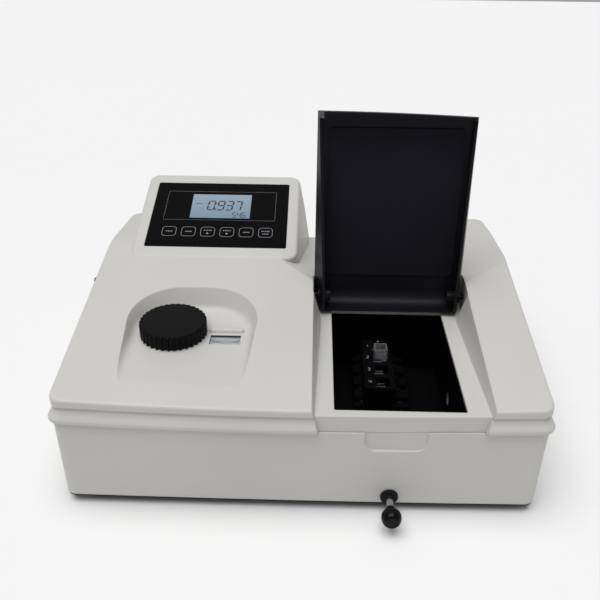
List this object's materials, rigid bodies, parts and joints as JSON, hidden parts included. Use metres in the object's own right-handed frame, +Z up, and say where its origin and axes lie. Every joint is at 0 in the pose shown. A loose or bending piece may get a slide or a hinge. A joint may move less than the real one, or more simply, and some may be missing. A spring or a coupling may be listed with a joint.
{
  "type": "spectrophotometer",
  "caption": "Bench spectrophotometer: low moulded case, rear display console with keys, wavelength knob in a recess, hinged black lid over a sample compartment with sliding cell holder.",
  "frame": {"origin": "on the ground, under the middle of the overall box", "axes": "+X to the right seen from the front, +Y from the front to the back, +Z up"},
  "size_m": [0.423, 0.3732, 0.2986],
  "materials": {
    "case_moulding": "fine-textured off-white moulding",
    "case_paint": "light grey paint on steel",
    "base_steel": "black paint on sheet steel",
    "black_moulding": "black moulding with a fine grain",
    "knob_black": "semi-gloss black moulding",
    "tub_black": "black anodised light-tight finish",
    "foam_black": "closed-cell foam sheet",
    "foot_rubber": "moulded rubber",
    "rod_steel": "ground and plated steel",
    "bright_steel": "plain steel",
    "cast_alloy": "cast and machined alloy",
    "mirror_glass": "front-surface mirror",
    "grating_face": "ruled reflective face",
    "clear_quartz": "clear polished quartz",
    "window_clear": "clear moulded window",
    "scale_face": "grey engraved scale",
    "overlay_film": "satin printed polyester film",
    "lcd_glass": "backlit liquid crystal glass",
    "board_green": "soldermask on laminate",
    "print_white": "white screen print",
    "print_dark": "dark liquid-crystal segments and print",
    "lamp_glass": "clear lamp envelope",
    "coil_core": "varnished laminations and tape",
    "brass_pin": "machined brass"
  },
  "bodies": {
    "chassis": {"rubber_feet": "foot_rubber", "base_plate": "base_steel", "lower_case": "case_moulding", "top_cover": "case_moulding", "rear_panel": "case_paint", "case_screws": "bright_steel", "hinge_pins": "knob_black", "console_overlay": "overlay_film", "lcd_module": "lcd_glass", "key_board": "board_green", "knob_bearing": "brass_pin", "scale_window": "window_clear", "scale_post": "brass_pin", "mono_base": "cast_alloy", "mono_mirrors": "mirror_glass", "slits": "tub_black", "sample_tub": "tub_black", "beam_windows": "clear_quartz", "carriage_rails": "rod_steel", "rod_escutcheon": "black_moulding", "rod_guide": "cast_alloy", "detector_box": "tub_black", "photodiode": "brass_pin", "lamp_housing": "cast_alloy", "tungsten_lamp": "lamp_glass", "deuterium_lamp": "lamp_glass", "transformer": "coil_core", "main_board": "board_green", "power_inlet": "black_moulding", "switch_body": "black_moulding", "rocker_pin": "rod_steel", "fuse_holder": "black_moulding", "serial_port": "rod_steel", "fan_frame": "black_moulding", "fan_guard": "rod_steel"},
    "lid": {"lid_shell": "black_moulding", "lid_liner": "foam_black"},
    "knob": {"wavelength_knob": "knob_black", "knob_shaft": "bright_steel"},
    "scale": {"scale_disc": "scale_face"},
    "grating_turntable": {"grating_table": "cast_alloy", "grating": "grating_face"},
    "carriage": {"cell_carriage": "tub_black", "cell_clips": "bright_steel", "pull_rod": "rod_steel", "rod_knob": "knob_black"},
    "cuvette_body": {"cuvette": "clear_quartz"},
    "selector": {"lamp_mirror": "mirror_glass", "selector_lever": "knob_black"},
    "rocker": {"power_rocker": "knob_black"},
    "fan": {"fan_rotor": "black_moulding"},
    "key_1_body": {"key_1": "overlay_film"},
    "key_2_body": {"key_2": "overlay_film"},
    "key_3_body": {"key_3": "overlay_film"},
    "key_4_body": {"key_4": "overlay_film"},
    "key_5_body": {"key_5": "overlay_film"},
    "key_6_body": {"key_6": "overlay_film"}
  },
  "joints": [
    {"name": "lid_hinge", "type": "hinge", "parent": "chassis", "child": "lid", "pos_m": [0.08585, 0.016, 0.1186], "axis": [1, 0, 0], "range_deg": [0, 103.2]},
    {"name": "knob_turn", "type": "hinge", "parent": "chassis", "child": "knob", "pos_m": [-0.11595, -0.0524, 0.108], "axis": [0, 0, 1], "range_deg": [-180, 180]},
    {"name": "scale_turn", "type": "hinge", "parent": "chassis", "child": "scale", "pos_m": [-0.06845, -0.02671, 0.104], "axis": [0, 0, 1], "range_deg": [-36, 36]},
    {"name": "grating_turn", "type": "hinge", "parent": "chassis", "child": "grating_turntable", "pos_m": [-0.06362, -0.01218, 0.068], "axis": [0, 0, 1], "range_deg": [-18, 18]},
    {"name": "carriage_slide", "type": "slide", "parent": "chassis", "child": "carriage", "axis": [0, -1, 0], "range_m": [0, 0.06]},
    {"name": "cuvette_lift", "type": "slide", "parent": "carriage", "child": "cuvette_body", "axis": [0, 0, 1], "range_m": [0, 0.026]},
    {"name": "lamp_select", "type": "hinge", "parent": "chassis", "child": "selector", "pos_m": [-0.16245, 0.0326, 0.108], "axis": [0, 0, 1], "range_deg": [-9, 9]},
    {"name": "power_rock", "type": "hinge", "parent": "chassis", "child": "rocker", "pos_m": [0.09855, 0.1806, 0.05], "axis": [1, 0, 0], "range_deg": [-8, 8]},
    {"name": "fan_spin", "type": "hinge", "parent": "chassis", "child": "fan", "pos_m": [-0.13745, 0.1736, 0.048], "axis": [0, 1, 0], "continuous": true},
    {"name": "press_key_1", "type": "slide", "parent": "chassis", "child": "key_1_body", "axis": [0, 0.2823, -0.9593], "range_m": [0, 0.0004], "stiffness_N_per_m": 600},
    {"name": "press_key_2", "type": "slide", "parent": "chassis", "child": "key_2_body", "axis": [0, 0.2823, -0.9593], "range_m": [0, 0.0004], "stiffness_N_per_m": 600},
    {"name": "press_key_3", "type": "slide", "parent": "chassis", "child": "key_3_body", "axis": [0, 0.2823, -0.9593], "range_m": [0, 0.0004], "stiffness_N_per_m": 600},
    {"name": "press_key_4", "type": "slide", "parent": "chassis", "child": "key_4_body", "axis": [0, 0.2823, -0.9593], "range_m": [0, 0.0004], "stiffness_N_per_m": 600},
    {"name": "press_key_5", "type": "slide", "parent": "chassis", "child": "key_5_body", "axis": [0, 0.2823, -0.9593], "range_m": [0, 0.0004], "stiffness_N_per_m": 600},
    {"name": "press_key_6", "type": "slide", "parent": "chassis", "child": "key_6_body", "axis": [0, 0.2823, -0.9593], "range_m": [0, 0.0004], "stiffness_N_per_m": 600}
  ],
  "couplings": [
    {"joint": "scale_turn", "follows": "knob_turn", "ratio": -0.2},
    {"joint": "grating_turn", "follows": "knob_turn", "ratio": -0.1}
  ]
}
